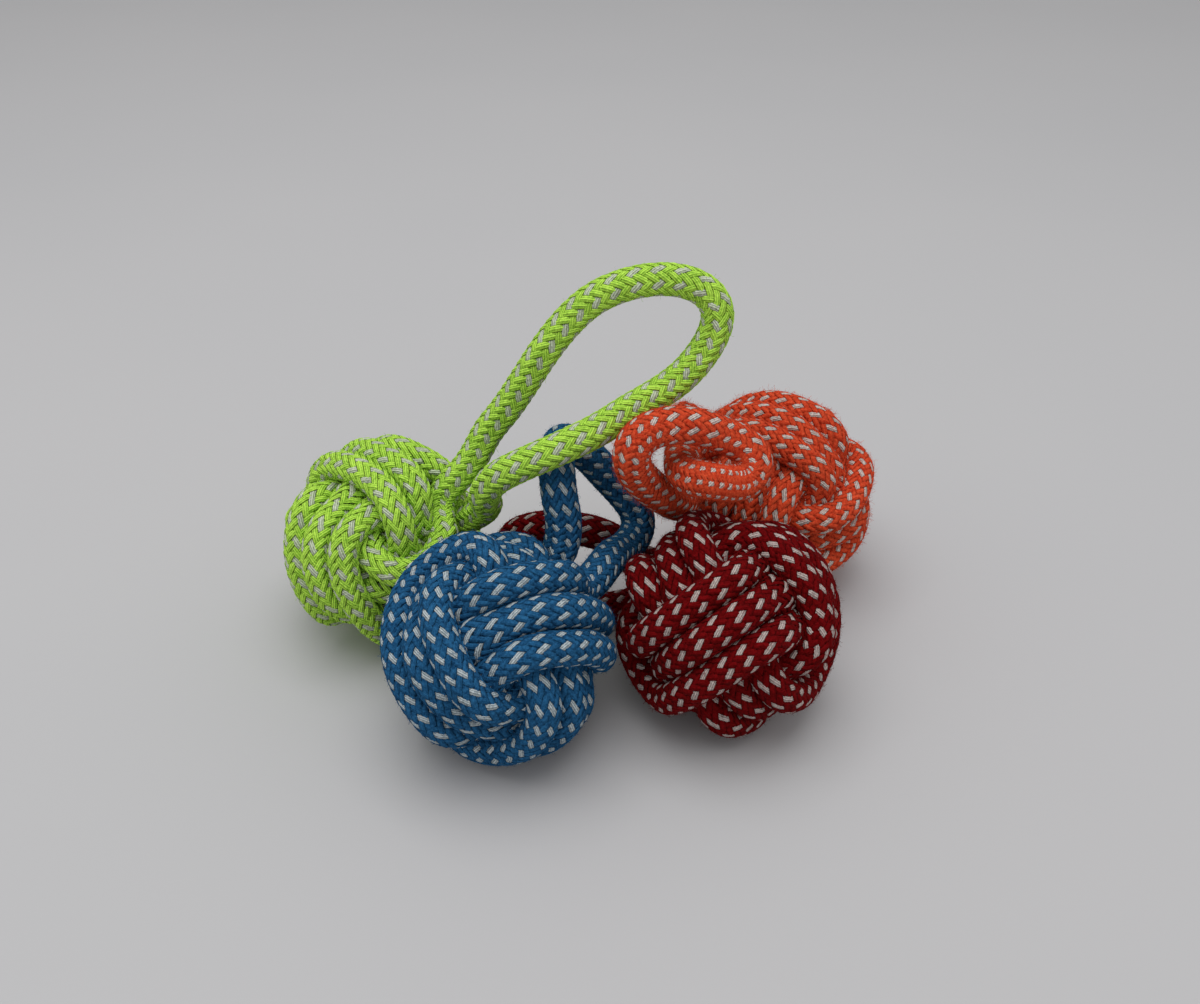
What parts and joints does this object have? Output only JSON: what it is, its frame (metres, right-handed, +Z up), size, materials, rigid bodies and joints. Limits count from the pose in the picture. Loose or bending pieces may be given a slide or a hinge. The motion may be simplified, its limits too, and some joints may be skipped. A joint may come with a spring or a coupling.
{
  "type": "rope dog toy",
  "caption": "Rope ball dog toys, each one length of braided rope tied as a ball knot round a core with the rest left as a loop handle, lying together.",
  "frame": {"origin": "centre of the set's bounding box, on the floor", "axes": "+Z up; the picture looks along +Y and down, with +X to its right"},
  "size_m": [0.193, 0.144, 0.1234],
  "materials": {
    "green_rope": "braided synthetic rope, slight sheen",
    "blue_rope": "soft braided cotton rope with white flecks",
    "red_rope": "soft braided cotton rope with white flecks",
    "orange_rope": "soft braided cotton rope with white flecks",
    "core": "plain undyed cotton, hidden"
  },
  "bodies": {
    "toys": {"green_knot": "green_rope", "green_core": "core", "blue_knot": "blue_rope", "blue_core": "core", "red_knot": "red_rope", "red_core": "core", "orange_knot": "orange_rope", "orange_core": "core"},
    "green_handle": {"green_loop": "green_rope"},
    "blue_handle": {"blue_loop": "blue_rope"},
    "red_handle": {"red_loop": "red_rope"},
    "orange_handle": {"orange_loop": "orange_rope"}
  },
  "joints": [
    {"name": "green_loop_bend", "type": "hinge", "parent": "toys", "child": "green_handle", "pos_m": [-0.03614, 0.01111, 0.04776], "axis": [-0.0375, -0.9991, -0.0217], "range_deg": [0, 55], "stiffness_Nm_per_rad": 0.3, "deforming": ["green_loop"]},
    {"name": "blue_loop_bend", "type": "hinge", "parent": "toys", "child": "blue_handle", "pos_m": [-0.00213, -0.01831, 0.04257], "axis": [-0.1628, -0.2898, 0.9431], "range_deg": [-3, 8], "stiffness_Nm_per_rad": 0.3, "deforming": ["blue_loop"]},
    {"name": "red_loop_bend", "type": "hinge", "parent": "toys", "child": "red_handle", "pos_m": [0.03064, 0.00232, 0.02237], "axis": [0.5589, 0.0038, -0.8292], "range_deg": [0, 20], "stiffness_Nm_per_rad": 0.3, "deforming": ["red_loop"]},
    {"name": "orange_loop_bend", "type": "hinge", "parent": "toys", "child": "orange_handle", "pos_m": [0.0355, 0.03594, 0.04641], "axis": [0.178, -0.9775, 0.113], "range_deg": [-50, 12], "stiffness_Nm_per_rad": 0.3, "deforming": ["orange_loop"]}
  ]
}
